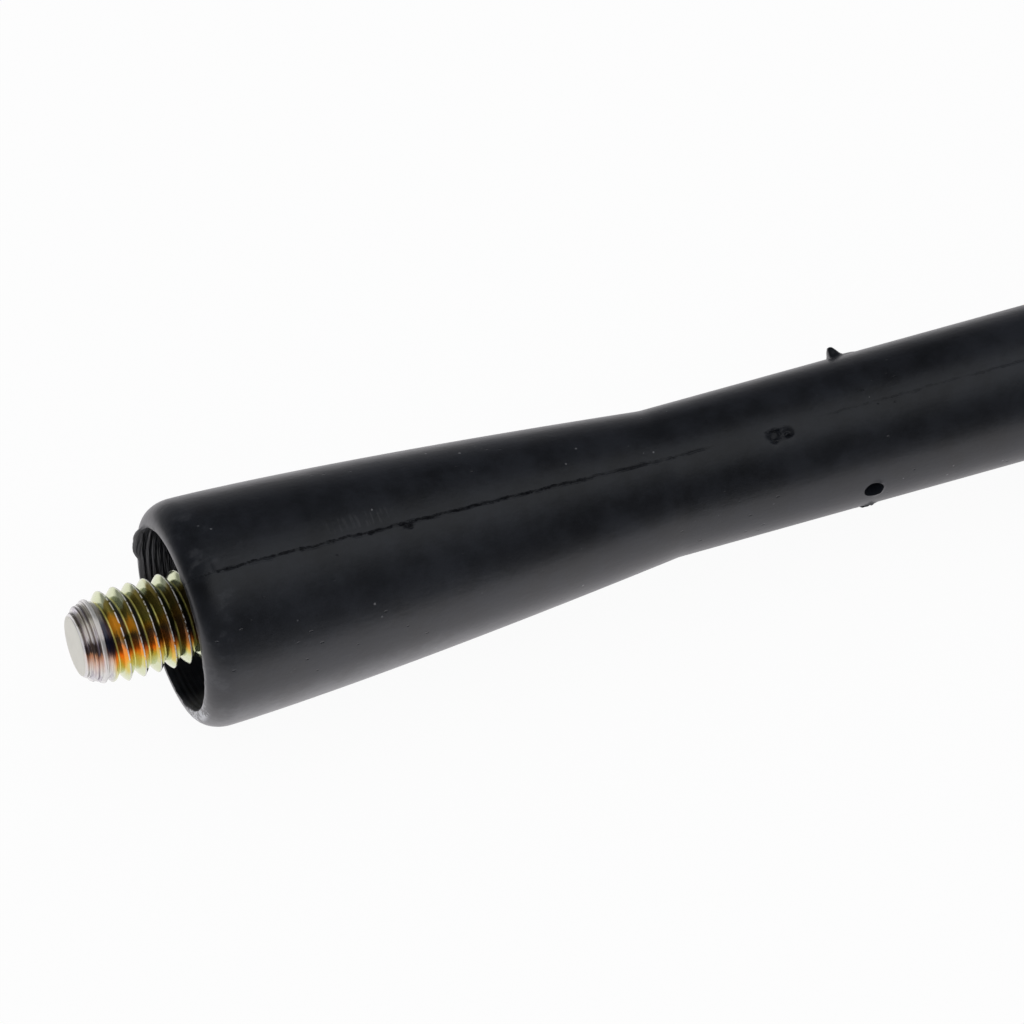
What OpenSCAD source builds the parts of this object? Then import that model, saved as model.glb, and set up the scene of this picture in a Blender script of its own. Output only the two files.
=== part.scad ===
// Car mast aerial: a wound rod aerial moulded in black rubber, with a screw stud in its flared boot.
// The mast lies along +X with its tip at the far end, and +Z is up.
// The origin is the centre of the boot's mouth.
// An angle round the mast is 0 towards -Y and 90 towards +Z.

/* [Rubber sheath] */
// Length from the boot's mouth to the tip
mast_length = 230; // [180:1:400]
// Largest diameter of the boot
boot_d = 14.6; // [14:0.1:17]
// Length of the boot, from its mouth to the plain shaft
boot_length = 32.5; // [29:0.5:60]
// How late the boot narrows: 1 is a straight cone, more keeps it full for longer
boot_fullness = 1.35; // [1:0.05:1.6]
// Diameter of the plain shaft
shaft_d = 9.5; // [8.5:0.1:11]
// Distance from the mouth at which the shaft starts to taper
taper_start = 75; // [60:1:120]
// Diameter where the rounded tip starts
tip_d = 7.6; // [7:0.1:9]
// Length of the rounded front of the lip
lip_length = 1.8; // [0.8:0.1:2.4]
// Width of the flat at the front of the lip
lip_flat = 0.2; // [0.1:0.05:0.5]
// Diameter of the boot's mouth
mouth_d = 11.8; // [11:0.1:12.2]
// Diameter of the hollow at its floor
floor_d = 10.4; // [10:0.1:10.8]
// Depth of the hollow in the boot
hollow_depth = 9; // [7:0.5:10]
// Number of turned steps down the wall of the hollow
hollow_steps = 9; // [4:1:14]

/* [Mould marks] */
// Angle round the mast of the near parting line
parting_angle = 65; // [0:1:180]
// Height of the flash along the parting lines
flash_height = 0.1; // [0.05:0.01:0.3]
// Thickness of the flash along the parting lines
flash_width = 0.14; // [0.08:0.01:0.3]
// Distance of the gate scar from the mouth
gate_station = 39.8; // [36:0.1:56]
// Angle from the parting line down to the gate scar
gate_offset = 4.5; // [0:0.5:10]
// Radius of each of the two craters that make the gate scar
gate_crater_r = 0.6; // [0.5:0.05:1]
// Distance between the two craters
gate_crater_gap = 0.7; // [0.4:0.05:1]
// Depth of the craters
gate_depth = 0.35; // [0.2:0.05:0.6]
// Distance of the locating-pin holes from the mouth
pin_station = 45.2; // [42:0.1:58]
// Diameter of the locating-pin holes
pin_hole_d = 1.3; // [0.8:0.1:2]
// Angle from the parting line to the nearest locating-pin hole
pin_spread = 73; // [50:1:85]
// Height of the torn nub that closes one locating-pin hole
nub_height = 0.7; // [0.3:0.05:0.9]
// Diameter of that nub at its foot
nub_d = 1.3; // [0.9:0.1:1.6]
// How far the nub lies past the pin holes
nub_shift = 0.5; // [0:0.05:0.8]
// How far the moulding flash stands out of the mouth
rim_flash = 0.45; // [0.1:0.05:0.5]
// Thickness of that flash
rim_flash_t = 0.18; // [0.1:0.01:0.5]
// Angle round the mast of the middle of that flash
rim_flash_angle = 162; // [100:1:220]
// Angle that the flash at the mouth covers
rim_flash_sweep = 38; // [20:1:60]

/* [Stud] */
// Diameter over the crests of the thread
stud_d = 5.9; // [5.8:0.05:6]
// How far the stud stands out of the mouth
stud_reach = 6.4; // [4:0.1:12]
// Diameter of the flat end of the stud
stud_end_d = 4.1; // [3:0.1:4.6]
// Length of the chamfer behind that end
stud_chamfer = 1.8; // [0.8:0.1:2.4]
// Width of the relief groove behind the thread
relief_width = 1.4; // [0.8:0.1:2]
// Diameter of the relief groove
relief_d = 4.7; // [4:0.1:5]
// Diameter of the shoulder at the floor of the hollow
shoulder_d = 9.6; // [9.4:0.1:9.8]
// Thickness of the shoulder
shoulder_t = 1.6; // [1:0.1:2.5]
// Width across the flats of the six-sided key behind the shoulder
key_flats = 8; // [7:0.1:8]
// Length of the six-sided key
key_length = 7.6; // [6:0.1:10]
// Width of each rubber groove turned in the key
key_groove_width = 1.2; // [0.8:0.1:1.4]
// Diameter at the bottom of those grooves
key_groove_d = 6.2; // [5.6:0.1:6.6]
// Number of rubber grooves in the key
key_groove_count = 2; // [1:1:3]
// Diameter of the nose that the winding is soldered to
nose_d = 4.4; // [4.2:0.05:4.8]
// Length of the nose
nose_length = 6; // [4:0.5:10]
// Depth of the socket that holds the rod, from the end of the nose
socket_depth = 11; // [6:0.5:14]

/* [Rod and winding] */
// Diameter of the glass-fibre rod
rod_d = 3.2; // [2.8:0.1:3.4]
// Thickness of rubber beyond the end of the rod
tip_cover = 6; // [5:0.5:12]
// Diameter of the enamelled wire
wire_d = 0.45; // [0.3:0.05:0.45]
// Pitch of the winding at its base
pitch_base = 7.5; // [5:0.1:9]
// Pitch of the winding at its tip
pitch_tip = 3.6; // [2.8:0.1:4.8]
// Length of bare rod past the end of the winding
bare_rod = 2; // [1:0.5:6]
// Length of the solder ring at the end of the nose
solder_length = 0.9; // [0.5:0.1:1.5]
// Wall thickness of the shrink sleeve
sleeve_wall = 0.35; // [0.2:0.05:0.6]

/* [Clearances] */
// Gap between the rod and its socket, filled by adhesive
socket_gap = 0.02; // [0.01:0.01:0.05]
// Gap between the rod and the wire
wire_gap = 0.05; // [0.045:0.005:0.08]
// Gap between the nose and the shrink sleeve
sleeve_gap = 0.05; // [0.02:0.01:0.1]

/* [Hidden] */
$fn = 96;
ROUND_STEPS = 10;
BOOT_STEPS = 14;
WIRE_SIDES = 6;
WIRE_STEPS = 14;
PAST = 1;

key_start = hollow_depth + shoulder_t;
nose_start = key_start + key_length;
nose_end = nose_start + nose_length;
thread_end = hollow_depth - relief_width;
rod_start = nose_end - socket_depth;
rod_end = mast_length - tip_cover;
sleeve_r = nose_d / 2 + sleeve_gap + sleeve_wall;
wire_start = nose_end + solder_length + wire_d;
wire_length = rod_end - bare_rod - wire_start;
wire_r = wire_d / 2;
coil_r = rod_d / 2 + wire_gap + wire_r;
pitch_drop = pitch_base - pitch_tip;
wire_turns = wire_length / pitch_drop * ln(pitch_base / pitch_tip);
pin_angles = [-pin_spread, 180 - pin_spread, 180 + pin_spread];

// Turns a profile of [distance along the mast, radius] about the mast's axis.
module along_mast()
    rotate([0, 90, 0]) rotate_extrude() mirror([1, -1, 0]) children();

// A round bar along the mast from one station to another.
module bar(from, to, d)
    translate([from, 0, 0]) rotate([0, 90, 0]) cylinder(h = to - from, d = d);

// Places children at a station and an angle round the mast, with their +Z pointing outwards.
module at(station, angle)
    translate([station, 0, 0]) rotate([90 - angle, 0, 0]) children();

// Outline of the sheath in half a section, grown by a little for the flash.
function lip_points(grow) = [
    for (i = [0:ROUND_STEPS])
        let (a = 90 * i / ROUND_STEPS, inner = mouth_d / 2 + lip_flat)
            [lip_length * (1 - cos(a)), inner + (boot_d / 2 - inner) * sin(a) + grow]
];
function boot_points(grow) = [
    for (i = [1:BOOT_STEPS])
        let (t = i / BOOT_STEPS)
            [
                lip_length + (boot_length - lip_length) * t,
                boot_d / 2 - (boot_d - shaft_d) / 2 * pow(t, boot_fullness) + grow,
            ]
];
function tip_points(grow) = [
    for (i = [0:ROUND_STEPS])
        let (a = 90 * i / ROUND_STEPS)
            [mast_length - tip_d / 2 * (1 - sin(a)), (tip_d / 2 + grow) * cos(a)]
];
function sheath_outline(grow) = concat(
    [[0, 0]],
    lip_points(grow),
    boot_points(grow),
    [[taper_start, shaft_d / 2 + grow]],
    tip_points(grow)
);

// The hollow in the boot narrows towards its floor in turned steps.
module boot_hollow() {
    step = hollow_depth / hollow_steps;
    drop = (mouth_d - floor_d) / 2 / (hollow_steps - 1);
    wall = [
        for (i = [0:hollow_steps - 1], end = [0, 1])
            [(i + end) * step, mouth_d / 2 - i * drop]
    ];
    along_mast() polygon(concat([[-PAST, 0], [-PAST, mouth_d / 2]], wall, [[hollow_depth, 0]]));
}

// Flash on both parting lines: one thin plate through the mast that stands proud of it.
module parting_flash()
    rotate([90 - parting_angle, 0, 0]) rotate([90, 0, 0])
        linear_extrude(flash_width, center = true) {
            polygon(sheath_outline(flash_height));
            mirror([0, 1]) polygon(sheath_outline(flash_height));
        }

module gate_scar()
    for (side = [-1, 1])
        at(gate_station + side * gate_crater_gap / 2, parting_angle - gate_offset)
            translate([0, 0, shaft_d / 2 + gate_crater_r - gate_depth]) sphere(gate_crater_r);

// Holes left by the pins that held the core central in the mould. Torn rubber closes the fourth.
module pin_holes()
    for (angle = pin_angles)
        at(pin_station, parting_angle + angle) cylinder(h = boot_d, d = pin_hole_d);

// Rubber torn up where the fourth pin was pulled out.
module torn_nub() {
    foot = nub_d / 2;
    at(pin_station + nub_shift, parting_angle + pin_spread)
        translate([0, 0, shaft_d / 2 - foot])
            cylinder(h = foot + nub_height, d1 = nub_d, d2 = nub_d / 2);
}

// Thin skirt of rubber that stands out of the mouth over part of its rim.
module mouth_flash() {
    outer = mouth_d / 2 + rim_flash_t;
    inner = outer - 3 * rim_flash_t;
    rotate([270 - rim_flash_angle - rim_flash_sweep / 2, 0, 0])
        rotate([0, 90, 0]) rotate_extrude(angle = rim_flash_sweep) mirror([1, -1, 0])
            polygon([[-rim_flash, inner], [-rim_flash, outer], [lip_length, outer], [lip_length, inner]]);
}

// The stud and the parts behind it that are moulded into the rubber, without the rod's socket.
module stud_form() {
    translate([-stud_reach, 0, 0]) rotate([0, 90, 0])
        cylinder(h = stud_chamfer, d1 = stud_end_d, d2 = stud_d);
    bar(stud_chamfer - stud_reach, thread_end, stud_d);
    bar(thread_end, hollow_depth, relief_d);
    bar(hollow_depth, key_start, shoulder_d);
    key_with_grooves();
    bar(nose_start, nose_end, nose_d);
}

module key_with_grooves() {
    land = (key_length - key_groove_count * key_groove_width) / (key_groove_count + 1);
    difference() {
        translate([key_start, 0, 0]) rotate([0, 90, 0])
            cylinder(h = key_length, d = key_flats / cos(30), $fn = 6);
        for (i = [0:key_groove_count - 1])
            groove(key_start + land + i * (land + key_groove_width));
    }
}

module groove(from)
    difference() {
        bar(from, from + key_groove_width, key_flats * 2);
        bar(from - PAST, from + key_groove_width + PAST, key_groove_d);
    }

// Overmoulded rubber: flared boot, shaft and rounded tip in one piece.
module rubber_sheath()
    color([0.12, 0.12, 0.13])
        difference() {
            union() {
                along_mast() polygon(sheath_outline(0));
                parting_flash();
                torn_nub();
                mouth_flash();
            }
            boot_hollow();
            stud_form();
            bar(nose_start, rod_end, sleeve_r * 2);
            gate_scar();
            pin_holes();
        }

// Turned steel stud with its shoulder, key and soldering nose. Its thread is cut in the finish model.
module threaded_stud()
    color([0.78, 0.7, 0.42])
        difference() {
            stud_form();
            bar(rod_start, nose_end + PAST, rod_d + 2 * socket_gap);
        }

module core_rod()
    color([0.86, 0.84, 0.72]) bar(rod_start, rod_end, rod_d);

// Solder that runs from the rim of the nose down to the rod.
module solder_joint() {
    inner = rod_d / 2 + socket_gap;
    rise = nose_d / 2 - inner;
    fillet = [
        for (i = [0:ROUND_STEPS])
            let (a = 90 * i / ROUND_STEPS)
                [nose_end + solder_length * (1 - cos(a)), inner + rise * (1 - 0.9 * sin(a))]
    ];
    color([0.72, 0.73, 0.76])
        along_mast()
            polygon(concat([[nose_end, inner]], fillet, [[nose_end + solder_length, inner]]));
}

// Distance along the winding after a number of turns, with a pitch that drops evenly to the tip.
function wound_length(turns) =
    wire_length * pitch_base / pitch_drop * (1 - exp(-turns * pitch_drop / wire_length));
function pitch_after(turns) = pitch_base - pitch_drop * wound_length(turns) / wire_length;
function wire_ring(turns) =
    let (
        a = 360 * turns,
        outwards = [0, -cos(a), sin(a)],
        around = [0, sin(a), cos(a)],
        lead = atan(pitch_after(turns) / (2 * PI * coil_r)),
        across = [cos(lead), 0, 0] - sin(lead) * around,
        centre = [wire_start + wound_length(turns), 0, 0] + coil_r * outwards
    )
    [
        for (i = [0:WIRE_SIDES - 1])
            let (b = 360 * i / WIRE_SIDES)
                centre + wire_r * (cos(b) * outwards + sin(b) * across)
    ];

// Enamelled copper wire, wound on the rod from the nose nearly to the rod's end.
module antenna_winding() {
    rings = ceil(wire_turns * WIRE_STEPS);
    last = rings * WIRE_SIDES;
    points = [for (k = [0:rings], p = wire_ring(wire_turns * k / rings)) p];
    sides = [
        for (k = [0:rings - 1], i = [0:WIRE_SIDES - 1], half = [0, 1])
            let (j = (i + 1) % WIRE_SIDES, low = k * WIRE_SIDES, high = low + WIRE_SIDES)
                half == 0 ? [low + i, low + j, high + j] : [low + i, high + j, high + i]
    ];
    start_cap = [for (i = [WIRE_SIDES - 1:-1:0]) i];
    end_cap = [for (i = [0:WIRE_SIDES - 1]) last + i];
    color([0.62, 0.3, 0.14])
        polyhedron(points, concat([start_cap], sides, [end_cap]), convexity = 10);
}

// Heat-shrunk tube over the nose and the winding.
module shrink_sleeve()
    color([0.2, 0.2, 0.22])
        difference() {
            bar(nose_start, rod_end, sleeve_r * 2);
            bar(nose_start - PAST, rod_end + PAST, nose_d + 2 * sleeve_gap);
        }

rubber_sheath();
threaded_stud();
core_rod();
antenna_winding();
solder_joint();
shrink_sleeve();
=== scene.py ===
"""Finish model of a car mast aerial: black rubber moulded over a wound rod with a plated stud."""

import bmesh
import bpy
import numpy as np
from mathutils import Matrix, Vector


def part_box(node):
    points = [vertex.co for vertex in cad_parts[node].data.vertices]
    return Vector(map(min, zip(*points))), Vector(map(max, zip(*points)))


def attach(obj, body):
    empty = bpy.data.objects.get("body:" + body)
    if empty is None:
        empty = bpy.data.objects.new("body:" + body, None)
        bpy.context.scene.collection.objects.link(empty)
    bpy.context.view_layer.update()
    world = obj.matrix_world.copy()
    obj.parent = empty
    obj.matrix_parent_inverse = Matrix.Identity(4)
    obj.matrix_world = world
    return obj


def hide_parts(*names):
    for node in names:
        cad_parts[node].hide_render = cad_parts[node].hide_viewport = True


bl_info = {
    "name": "Car mast aerial finish",
    "version": (1, 0, 0),
    "blender": (4, 5, 0),
    "location": "3D View > Sidebar > Aerial",
    "description": "Dresses the mast aerial's solids with their moulded and plated surfaces",
    "category": "Object",
}

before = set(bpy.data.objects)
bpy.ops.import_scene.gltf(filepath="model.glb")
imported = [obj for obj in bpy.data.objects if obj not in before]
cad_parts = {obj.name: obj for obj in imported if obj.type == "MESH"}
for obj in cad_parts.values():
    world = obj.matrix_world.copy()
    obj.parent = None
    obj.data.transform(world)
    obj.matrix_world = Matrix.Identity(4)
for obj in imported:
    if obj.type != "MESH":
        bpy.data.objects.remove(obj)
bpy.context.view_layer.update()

MM = 0.001
SHEATH_HIGH = Vector(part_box("rubber_sheath")[1])
STUD_LOW = Vector(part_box("threaded_stud")[0])
SLEEVE_HIGH = Vector(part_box("shrink_sleeve")[1])
ROD_LOW, ROD_HIGH = (Vector(corner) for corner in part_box("core_rod"))


def length(name, default, description):
    """A size, whose default is given in mm."""
    return bpy.props.FloatProperty(
        name=name, default=default * MM, description=description, unit="LENGTH", precision=5
    )


def turn(name, degrees, description):
    """An angle round the mast: 0 is towards -Y and 90 towards +Z."""
    return bpy.props.FloatProperty(
        name=name, default=np.radians(degrees), description=description, unit="ROTATION"
    )


def colour(name, default, description):
    """A surface colour, in linear light."""
    return bpy.props.FloatVectorProperty(
        name=name, default=default, description=description, subtype="COLOR", size=3, min=0, max=1
    )


class SheathSettings(bpy.types.PropertyGroup):
    """Sizes and colours of the moulded rubber."""

    boot_radius: length("Boot radius", 7.3, "Largest radius of the boot")
    boot_length: length("Boot length", 32.5, "From the mouth to the plain shaft")
    boot_fullness: bpy.props.FloatProperty(
        name="Boot fullness", default=1.35, description="How late the boot narrows"
    )
    shaft_radius: length("Shaft radius", 4.75, "Radius of the plain shaft")
    taper_start: length("Taper start", 75, "Where the shaft starts to taper")
    tip_radius: length("Tip radius", 3.8, "Radius of the rounded tip")
    lip_length: length("Lip length", 1.8, "Length of the lip's rounded front")
    lip_flat: length("Lip flat", 0.2, "Flat at the front of the lip")
    mouth_radius: length("Mouth radius", 5.9, "Radius of the boot's mouth")
    floor_radius: length("Floor radius", 5.2, "Radius of the hollow's floor")
    hollow_depth: length("Hollow depth", 9, "Depth of the hollow in the boot")
    ring_pitch: length("Ring pitch", 0.4, "Distance between the hollow's rings")
    ring_height: length("Ring height", 0.05, "Height of the hollow's rings")
    parting_angle: turn("Parting line", 65, "Angle of the near parting line")
    flash_height: length("Flash height", 0.1, "Height of the ragged flash")
    gate_station: length("Gate station", 39.8, "Where the gate was torn off")
    gate_offset: turn("Gate offset", 4.5, "From the parting line to the gate")
    pin_station: length("Pin station", 45.2, "Where the locating pins stood")
    pin_hole_radius: length("Pin hole radius", 0.65, "Radius of the pin holes")
    pin_spread: turn("Pin spread", 73, "From the parting line to a pin hole")
    nub_station: length("Nub station", 45.7, "Where the torn nub stands")
    rim_flash: length("Mouth flash", 0.45, "How far the flash stands out")
    rim_flash_angle: turn("Mouth flash angle", 162, "Middle of the mouth's flash")
    rim_flash_sweep: turn("Mouth flash sweep", 38, "Angle that the flash covers")
    rubber_colour: colour("Rubber", (0.0109, 0.0125, 0.0168), "Black of the rubber")
    # Grey of the dust and the scuffs, and of the painted light on the underside.
    dust_and_painted_light_colour: colour("Dust", (0.3, 0.3, 0.31), "Specks of dust on the rubber")


class StudSettings(bpy.types.PropertyGroup):
    """Sizes and colours of the plated stud."""

    crest_radius: length("Crest radius", 2.95, "Radius over the thread's crests")
    thread_depth: length("Thread depth", 0.6, "From crest to root")
    pitch: length("Pitch", 1.0, "Distance between two crests")
    thread_start: turn("Thread start", 265, "Turns the thread on the stud")
    thread_end: length("Thread end", 7.6, "Where the relief groove starts")
    relief_radius: length("Relief radius", 2.35, "Radius of the relief groove")
    shoulder_radius: length("Shoulder radius", 4.8, "Radius of the shoulder")
    shoulder_length: length("Shoulder length", 1.6, "Thickness of the shoulder")
    key_half_flats: length("Key half flats", 4.0, "Half the key's width")
    key_length: length("Key length", 7.6, "Length of the six-sided key")
    groove_width: length("Groove width", 1.2, "Width of the key's rubber grooves")
    groove_radius: length("Groove radius", 3.1, "Radius at the grooves' floor")
    nose_radius: length("Nose radius", 2.2, "Radius of the soldering nose")
    nose_length: length("Nose length", 6.0, "Length of the soldering nose")
    # The thread's colours are laid out by how far a point faces up or down, as painted reflection:
    # pale at the top and bottom for the light and the floor, brown in the dark middle, olive and
    # orange between.
    silver_colour: colour("Silver", (0.9, 0.88, 0.86), "Crests and end rings")
    pale_painted_reflection_colour: colour("Pale", (0.72, 0.77, 0.5), "Top and bottom of the thread")
    olive_colour: colour("Olive", (0.44, 0.38, 0.06), "Upper flanks")
    brown_colour: colour("Brown", (0.3, 0.17, 0.08), "Middle of the thread")
    warm_colour: colour("Orange", (0.95, 0.36, 0.03), "Lower flanks")
    cool_colour: colour("Violet", (0.42, 0.36, 0.5), "Hoops near the end")
    blue_colour: colour("Blue", (0.022, 0.03, 0.075), "Behind the first ridge")
    end_colour: colour("End face", (0.93, 0.9, 0.8), "Cream face of the end")


class WindingSettings(bpy.types.PropertyGroup):
    """Sizes of the wire on the rod."""

    wire_radius: length("Wire radius", 0.225, "Radius of the enamelled wire")
    coil_radius: length("Coil radius", 1.875, "From the rod's axis to the wire's axis")
    pitch_base: length("Base pitch", 7.5, "Pitch of the winding at its base")
    pitch_tip: length("Tip pitch", 3.6, "Pitch of the winding at its tip")
    steps: bpy.props.IntProperty(name="Steps", default=26, description="Points in a turn of wire")


class StageSettings(bpy.types.PropertyGroup):
    """Camera, floor and light."""

    azimuth: turn("Azimuth", -21.1, "Camera's turn round the mast")
    elevation: turn("Elevation", 46.0, "Camera's height angle")
    lens: bpy.props.FloatProperty(name="Lens", default=500, description="Focal length in mm")
    pixels_per_metre: bpy.props.FloatProperty(
        name="Scale", default=16000, description="Pixels a metre at the mast"
    )
    aim_station: length("Aim station", 22.9, "Station at the picture's centre")
    aim_rise: length("Aim rise", 0.78, "Picture's centre above the axis")


# Where a scrap of flash is folded over beside the parting line.
FLASH_KNOT = 14.6 * MM
# Angle round the mast of the side that the picture shows.
PICTURE_SIDE = np.radians(48)
# The picture's width in pixels, and the width of the camera's sensor in millimetres.
IMAGE_SIDE = 1024
SENSOR = 36


def maths(operation, swapped=False):
    """An operator's method, which adds a maths node."""

    def method(self, other):
        return self.math(operation, *((other, self) if swapped else (self, other)))

    return method


class Socket:
    """A shader value that Python's operators can work on."""

    def __init__(self, tree, link):
        self.tree = tree
        self.link = link

    def math(self, operation, *values):
        return self.tree.node("ShaderNodeMath", values, {"operation": operation})

    __add__ = __radd__ = maths("ADD")
    __mul__ = __rmul__ = maths("MULTIPLY")
    __truediv__ = maths("DIVIDE")
    __sub__ = maths("SUBTRACT")
    __rsub__ = maths("SUBTRACT", swapped=True)

    def __neg__(self):
        return self * -1.0

    def of(self, operation, *values):
        """A function of this value alone, or with one more number."""
        return self.math(operation, self, *values)

    def band(self, low, high):
        """0 below low, 1 above high and a smooth step between."""
        settings = {"interpolation_type": "SMOOTHSTEP"}
        values = {"Value": self, "From Min": low, "From Max": high}
        return self.tree.node("ShaderNodeMapRange", values, settings)

    def fade(self, low, high):
        """1 below low, 0 above high and a smooth step between."""
        return 1 - self.band(low, high)

    def within(self, low, full, fading, high):
        """1 from full to fading, and 0 below low and above high."""
        return self.band(low, full) * self.fade(fading, high)


class Tree:
    """A node tree, with one way to add a node."""

    def __init__(self, tree):
        self.nodes = tree.nodes
        self.links = tree.links
        self.nodes.clear()

    @classmethod
    def of(cls, owner, *settings):
        """The tree of a material or of the world."""
        owner.use_nodes = True
        return cls(owner.node_tree, *settings)

    def node(self, kind, values=None, settings=None, output=0):
        made = self.nodes.new(kind)
        for name, value in (settings or {}).items():
            if name == "stops":
                self.set_stops(made.color_ramp, value)
            else:
                setattr(made, name, value)
        pairs = values.items() if isinstance(values, dict) else enumerate(values or [])
        for key, value in pairs:
            self.feed(made.inputs[key], value)
        return Socket(self, made.outputs[output]) if made.outputs else None

    def feed(self, target, value):
        if isinstance(value, Socket):
            self.links.new(value.link, target)
        elif target.type == "RGBA":
            target.default_value = (*value[:3], 1.0)
        else:
            target.default_value = value

    @staticmethod
    def set_stops(ramp, stops):
        while len(ramp.elements) < len(stops):
            ramp.elements.new(0.5)
        for element, (place, shade) in zip(ramp.elements, stops):
            element.position = place
            element.color = (*shade, 1.0)

    def place(self):
        return self.node("ShaderNodeTexCoord", output="Object")

    def axes(self, vector):
        split = self.node("ShaderNodeSeparateXYZ", [vector]).link.node
        return [Socket(self, out) for out in split.outputs]

    def rays(self):
        """Whether a ray comes from the camera, and whether it is a reflection."""
        path = self.node("ShaderNodeLightPath").link.node
        return [Socket(self, path.outputs[name]) for name in ("Is Camera Ray", "Is Glossy Ray")]

    def noise(self, vector, scale, detail, roughness=0.55):
        values = {"Vector": vector, "Scale": scale, "Detail": detail, "Roughness": roughness}
        return self.node("ShaderNodeTexNoise", values)

    def ramp(self, factor, stops):
        return self.node("ShaderNodeValToRGB", [factor], {"stops": stops})

    def stretched(self, vector, scale):
        return self.node("ShaderNodeVectorMath", [vector, scale], {"operation": "MULTIPLY"})

    def mix(self, factor, first, second):
        """A blend of two colours, which are the node's inputs 6 and 7 and its output 2."""
        values = {0: factor, 6: first, 7: second}
        return self.node("ShaderNodeMix", values, {"data_type": "RGBA"}, output=2)

    def bumps(self, layers):
        """Normal of several bump maps, each given by its height, depth in mm and strength."""
        normal = None
        for height, depth, strength in layers:
            values = {"Height": height, "Distance": depth * MM, "Strength": strength}
            if normal:
                values["Normal"] = normal
            normal = self.node("ShaderNodeBump", values)
        return normal

    def surface(self, values):
        shader = self.node("ShaderNodeBsdfPrincipled", values)
        self.node("ShaderNodeOutputMaterial", [shader])


class Surface(Tree):
    """A material's tree, with a point's place in mm: along the mast, across it and out from it."""

    def __init__(self, tree):
        super().__init__(tree)
        self.at = self.place()
        self.x, self.y, self.z = (part / MM for part in self.axes(self.at))
        self.radius = (self.y * self.y + self.z * self.z).of("SQRT")

    def across(self, angle):
        """Distance from the plane through the mast's axis at an angle round it."""
        return self.z * np.cos(angle) + self.y * np.sin(angle)

    def grains(self, scale, detail, roughness=0.55):
        return self.noise(self.at, scale, detail, roughness)

    def streaks(self, scales, detail):
        """Noise with one scale along the mast and two across it."""
        return self.noise(self.stretched(self.at, scales), 1.0, detail)

    def cells(self, scales):
        """Distance from the middle of the nearest of many scattered cells."""
        values = {"Vector": self.stretched(self.at, scales), "Scale": 1.0}
        return self.node("ShaderNodeTexVoronoi", values, {"feature": "F1"})


def scaled(shade, share):
    """A colour or another triple, multiplied by a number."""
    return tuple(share * c for c in shade)


# Where the parting line's crack starts, thins, ends and returns, in mm along the mast.
CRACK_STARTS = (1.2, 2.6)
CRACK_THINS = (24, 29)
CRACK_ENDS = (33, 36.5)
CRACK_RETURNS = (42, 44)
# Half width of the crack in mm, and what drips and the painted shadow under the folded flash add to
# it.
CRACK_REACH = 0.06
DRIP_REACH = 0.11
KNOT_REACH = 0.4
PARTING_WANDER = 0.34
# Half length and half width of the gate's scar, in mm.
SCAR_LONG = 0.95
SCAR_WIDE = 0.52
# The boot's rubbed patch, in mm along the mast and up from the parting line.
PATCH_ALONG = (9, 10.5, 13.2, 14.2)
PATCH_ACROSS = (0.3, 0.6, 1.1, 1.6)


class Rubber(Surface):
    """The sheath's surface, with the noises that its marks share."""

    def __init__(self, tree, sheath):
        super().__init__(tree)
        self.cloud = self.grains(150, 4).band(0.3, 0.7)
        self.grain = self.grains(3600, 3)
        self.drawn = self.streaks((420, 2400, 2400), 4)
        self.hoops = self.streaks((5200, 420, 420), 4)
        self.torn = self.grains(2600, 3).band(0.35, 0.65)
        self.mottled = self.grains(480, 5, 0.65)
        self.blotches = self.mottled.band(0.35, 0.65)
        wander_by = self.streaks((1000, 90, 90), 5) - 0.5
        self.line = self.across(sheath.parting_angle) + wander_by * PARTING_WANDER
        self.foot = -self.across(PICTURE_SIDE)


def parting_crack_and_painted_shade(skin):
    """Painted shade in the ragged gap along the boot's parting line, faint along the shaft's, deeper
    under the folded flash.
    """
    x, line, torn = skin.x, skin.line, skin.torn
    drips = skin.grains(800, 2).band(0.52, 0.64)
    on_boot = 1 - 0.55 * x.band(*CRACK_THINS) - 0.45 * x.band(*CRACK_ENDS)
    on_shaft = x.band(*CRACK_RETURNS)
    near_knot = (x - FLASH_KNOT / MM).of("ABSOLUTE").fade(0.1, 0.65)
    # Drips and the folded flash's painted shadow widen the gap on one side of the line.
    sagging = (DRIP_REACH * drips + KNOT_REACH * near_knot) * line.fade(-0.02, 0.02)
    gap = line.of("ABSOLUTE") / (CRACK_REACH * (1 + torn) + sagging)
    crack_and_painted_shade = gap.fade(0.35, 1.0) * (0.35 + 0.65 * torn) * (on_boot + 0.3 * on_shaft)
    return crack_and_painted_shade * (0.3 + 0.7 * x.band(*CRACK_STARTS))


def gate_scar_painted_shade(skin, sheath):
    """Painted shade in a torn oval where the gate was, a little below the parting line."""
    along = (skin.x - sheath.gate_station / MM) / SCAR_LONG
    beside = skin.across(sheath.parting_angle - sheath.gate_offset) / SCAR_WIDE
    return (along * along + beside * beside).fade(0.6, 1.1) * (0.12 + 0.3 * skin.torn)


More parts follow.
